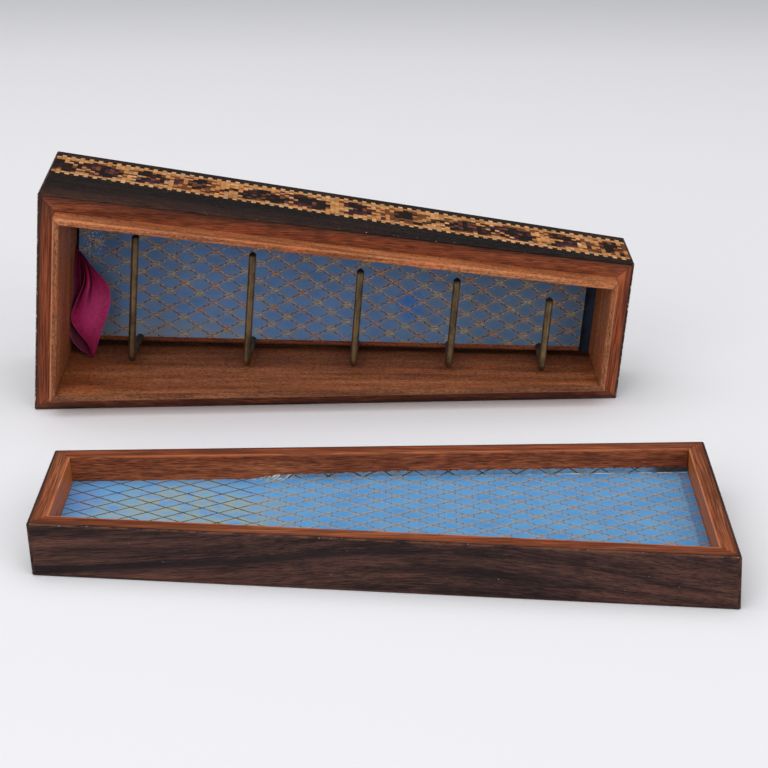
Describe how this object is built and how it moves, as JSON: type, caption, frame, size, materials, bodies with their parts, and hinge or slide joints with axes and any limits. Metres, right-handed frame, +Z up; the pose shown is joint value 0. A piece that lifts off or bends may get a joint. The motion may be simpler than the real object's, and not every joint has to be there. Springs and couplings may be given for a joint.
{
  "type": "tapered pen case",
  "caption": "Tapered veneered wooden case with a mosaic band on one side, a lift-out rack of bent pins with a ribbon pull, and a lift-off lid laid beside it, inside up.",
  "frame": {"origin": "middle of the long side on which the case lies, on the floor", "axes": "+X from the case's wide end to its narrow end along the floor, +Y from the open mouth to the case's back, +Z up"},
  "size_m": [0.2292, 0.1973, 0.0809],
  "materials": {
    "rosewood_veneer": "worn polish",
    "mahogany_core": "waxed",
    "liner_wood": "waxed",
    "wood_mosaic": "worn polish",
    "rack_wood": "bare",
    "blue_paper": "matte",
    "lattice_paper": "printed, satin",
    "brass": "aged",
    "ribbon": "satin"
  },
  "bodies": {
    "case": {"case_bottom_board": "mahogany_core", "case_wall_upper": "mahogany_core", "case_wall_lower": "mahogany_core", "case_wall_wide_end": "mahogany_core", "case_wall_narrow_end": "mahogany_core", "case_veneer_bottom": "rosewood_veneer", "case_veneer_lower": "rosewood_veneer", "case_veneer_wide_end": "rosewood_veneer", "case_veneer_narrow_end": "rosewood_veneer", "case_veneer_upper_back": "rosewood_veneer", "case_veneer_upper_front": "rosewood_veneer", "case_mosaic_band": "wood_mosaic", "liner_upper": "liner_wood", "liner_lower": "liner_wood", "liner_wide_end": "liner_wood", "liner_narrow_end": "liner_wood", "case_lining_paper": "blue_paper"},
    "rack": {"rack_board": "rack_wood", "rack_paper": "lattice_paper", "rack_pin_1": "brass", "rack_pin_2": "brass", "rack_pin_3": "brass", "rack_pin_4": "brass", "rack_pin_5": "brass", "ribbon_pull": "ribbon"},
    "lid": {"lid_top_board": "mahogany_core", "lid_wall_rear": "mahogany_core", "lid_wall_front": "mahogany_core", "lid_wall_wide_end": "mahogany_core", "lid_wall_narrow_end": "mahogany_core", "lid_veneer_top": "rosewood_veneer", "lid_veneer_rear": "rosewood_veneer", "lid_veneer_front": "rosewood_veneer", "lid_veneer_wide_end": "rosewood_veneer", "lid_veneer_narrow_end": "rosewood_veneer", "lid_lining_paper": "lattice_paper"}
  },
  "joints": [
    {"name": "rack_slide", "type": "slide", "parent": "case", "child": "rack", "axis": [0, -1, 0], "range_m": [0, 0.065]},
    {"name": "lid_lift", "type": "slide", "parent": "case", "child": "lid", "axis": [0, 0, 1], "range_m": [0, 0.1]}
  ]
}
